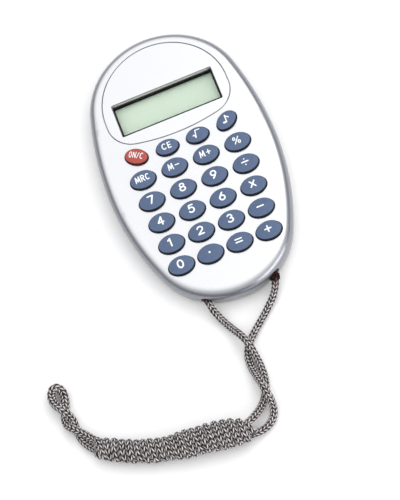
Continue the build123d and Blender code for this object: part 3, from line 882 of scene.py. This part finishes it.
def make_silver(name, colour, roughness, rim_shade_colour, side):
    """Silver paint: fine metal flakes under lacquer, with painted shade that darkens faces as they turn
    from the top down into the rim, and a painted tone on upright sides.
    """
    paint = Shader(name, colour, roughness, metallic=0.8, coat_weight=0.2, coat_roughness=0.15)
    flakes = paint.noise(flake_scale, 1.0)
    # Painted shade: the colour darkens from the top face down into the rim, reaching the rim shade
    # colour, and takes the side colour, also painted, on upright faces.
    painted_rim_shade = paint.ramp(
        paint.math("ADD", paint.normal_z(), paint.math("MULTIPLY", flakes, flake_tilt)),
        (0.05, side),
        (0.30, rim_shade_colour),
        (0.70, shade(rim_shade_colour, 1.05)),
        (0.88, shade(colour, 0.52)),
        (0.96, shade(colour, 0.82)),
        (1.0, colour),
    )
    paint.link(painted_rim_shade, paint.shader.inputs["Base Color"])
    paint.vary_roughness(paint.noise(90.0, 3.0), roughness - 0.03, roughness + 0.03)
    paint.bump(paint.noise(4000.0, 2.0), 0.08, 0.00001)
    return paint.material


def make_moulding(name, colour, roughness, grain, **sockets):
    """Moulded plastic or rubber: slightly uneven colour and a fine grain of the given scale."""
    plastic = Shader(name, colour, roughness, **sockets)
    plastic.vary_colour(plastic.noise(grain * 0.2, 3.0), shade(colour, 0.9), shade(colour, 1.1))
    plastic.vary_roughness(plastic.noise(grain * 0.1), roughness - 0.05, roughness + 0.05)
    plastic.bump(plastic.noise(grain), 0.15, 0.00002)
    return plastic.material


def make_key_plastic(name, top, side):
    """Semi-gloss key caps in their own colour on top, with painted shade: near black on the sides where
    the edges turn down.
    """
    cap = Shader(name, top, 0.42, specular=0.25)
    mottle = cap.noise(700.0, 3.0)
    top_colour = cap.ramp(mottle, (0.3, shade(top, 0.93)), (0.7, shade(top, 1.07)))
    # Painted shade on the key sides, from the given side colour.
    painted_side_shade = cap.ramp(mottle, (0.3, side), (0.7, shade(side, 1.3)))
    top_share = cap.map_range(cap.normal_z(), *side_shade_edge, 0.0, 1.0)
    cap.link(cap.mix(top_share, painted_side_shade, top_colour), cap.shader.inputs["Base Color"])
    cap.bump(cap.noise(3000.0), 0.1, 0.00001)
    return cap.material


def make_glass():
    glass = Shader("display_glass", (0.60, 0.72, 0.62), 0.06, alpha=0.08)
    glass.vary_colour(glass.noise(50.0), (0.58, 0.70, 0.60), (0.62, 0.74, 0.64))
    glass.vary_roughness(glass.noise(80.0, 3.0), 0.04, 0.10)
    return glass.material


def make_film():
    """The display's reflector: a grey-green film with a fine pearly grain."""
    film = Shader("display_film", (0.74, 0.88, 0.72), 0.55)
    film.vary_colour(film.noise(2500.0, 3.0), (0.71, 0.85, 0.69), (0.77, 0.91, 0.75))
    film.bump(film.noise(2500.0), 0.1, 0.00001)
    return film.material


def make_metal(name, colour, roughness, streaks=(1.0, 1.0, 12.0)):
    """Rolled, drawn or plated metal with fine streaks one way."""
    metal = Shader(name, colour, roughness, metallic=1.0)
    grain = metal.noise(900.0, 3.0, streaks)
    metal.vary_colour(grain, shade(colour, 0.88), shade(colour, 1.08))
    metal.vary_roughness(grain, roughness - 0.08, roughness + 0.1)
    metal.bump(grain, 0.1, 0.00001)
    return metal.material


def make_board():
    """Green solder mask over copper tracks, which show as slightly paler bands."""
    board = Shader("solder_mask", (0.03, 0.18, 0.07), 0.3, coat_weight=0.3)
    tracks = board.bands(160.0, 3.0)
    board.vary_colour(tracks, (0.02, 0.14, 0.05), (0.05, 0.26, 0.10), 0.45, 0.55)
    board.bump(tracks, 0.2, 0.00003)
    return board.material


def make_strip():
    """The contact strip: thin dark conducting layers across pale silicone."""
    strip = Shader("layered_silicone", (0.5, 0.5, 0.52), 0.6)
    strip.vary_colour(strip.bands(3000.0), (0.04, 0.04, 0.045), (0.62, 0.60, 0.62), 0.4, 0.6)
    return strip.material


def make_knot():
    """The cord's knots: tight brown-grey plies with dark gaps."""
    knot = Shader("cord_knot", (0.16, 0.12, 0.10), 0.8, sheen_weight=0.2)
    plies = knot.bands(500.0, 4.0, "DIAGONAL")
    knot.vary_colour(plies, (0.03, 0.022, 0.02), (0.26, 0.21, 0.18), 0.2, 0.8)
    knot.bump(plies, 0.8, 0.0003)
    return knot.material


def dress(material, *names):
    for name in names:
        mesh = nodes[name].data
        mesh.materials.clear()
        mesh.materials.append(material)


key_nodes = [name for name in nodes if name.startswith("key_")]
blue_keys = [name for name in key_nodes if name != "key_on_clear"]
# The rim and side colours of each silver below are painted shade and painted tone on the case's turned
# edges.
face_silver = make_silver(
    "face_silver",
    colour=(0.69, 0.70, 0.725),
    roughness=0.28,
    rim_shade_colour=(0.27, 0.275, 0.305),
    side=(0.30, 0.305, 0.33),
)
bezel_silver = make_silver(
    "bezel_silver",
    colour=(0.70, 0.71, 0.735),
    roughness=0.26,
    rim_shade_colour=(0.27, 0.27, 0.28),
    side=(0.70, 0.66, 0.64),
)
back_silver = make_silver(
    "back_silver",
    colour=(0.60, 0.60, 0.60),
    roughness=0.36,
    rim_shade_colour=(0.36, 0.355, 0.345),
    side=(0.36, 0.355, 0.345),
)
dress(face_silver, "front_case")
dress(bezel_silver, "display_bezel")
dress(back_silver, "back_case", "battery_door")
# The last colour of each key is the painted shade on its sides.
dress(make_key_plastic("key_blue", (0.086, 0.126, 0.218), (0.004, 0.005, 0.012)), *blue_keys)
dress(make_key_plastic("key_red", (0.40, 0.072, 0.056), (0.04, 0.005, 0.005)), "key_on_clear")
black_plastic = make_moulding("black_frame", (0.008, 0.008, 0.009), 0.6, 2500.0, specular=0.1)
dress(black_plastic, "lcd_frame")
add_display_border(black_plastic)
dress(make_glass(), "lcd_front_glass", "lcd_rear_glass")
dress(make_film(), "lcd_reflector")
dress(make_strip(), "contact_strip")
dress(make_board(), "circuit_board")
dress(make_moulding("chip_epoxy", (0.012, 0.012, 0.012), 0.2, 400.0, coat_weight=0.5), "chip_cover")
dress(make_moulding("fired_ceramic", (0.42, 0.33, 0.23), 0.5, 2500.0), "board_components")
dress(make_moulding("mat_rubber", (0.52, 0.53, 0.53), 0.6, 2500.0), "keypad_mat")
dress(make_metal("cell_steel", (0.68, 0.68, 0.68), 0.28), "button_cell")
dress(make_metal("nickel_strip", (0.66, 0.64, 0.60), 0.3), "contact_negative", "contact_positive")
dress(make_metal("rolled_brass", (0.78, 0.58, 0.25), 0.3, (1.0, 10.0, 1.0)), "buzzer_disc")
dress(make_moulding("silvered_ceramic", (0.75, 0.75, 0.73), 0.45, 3000.0), "buzzer_crystal")
red_insulation = make_moulding("red_insulation", (0.50, 0.03, 0.02), 0.4, 3000.0)
black_insulation = make_moulding("black_insulation", (0.015, 0.015, 0.016), 0.4, 3000.0)
dress(red_insulation, "wire_positive", "wire_buzzer_crystal")
dress(black_insulation, "wire_negative", "wire_buzzer_disc")
dress(make_metal("zinc_plate", (0.58, 0.58, 0.60), 0.35), "case_screws", "board_screws")
dress(make_knot(), "cord_knot_left", "cord_knot_right")
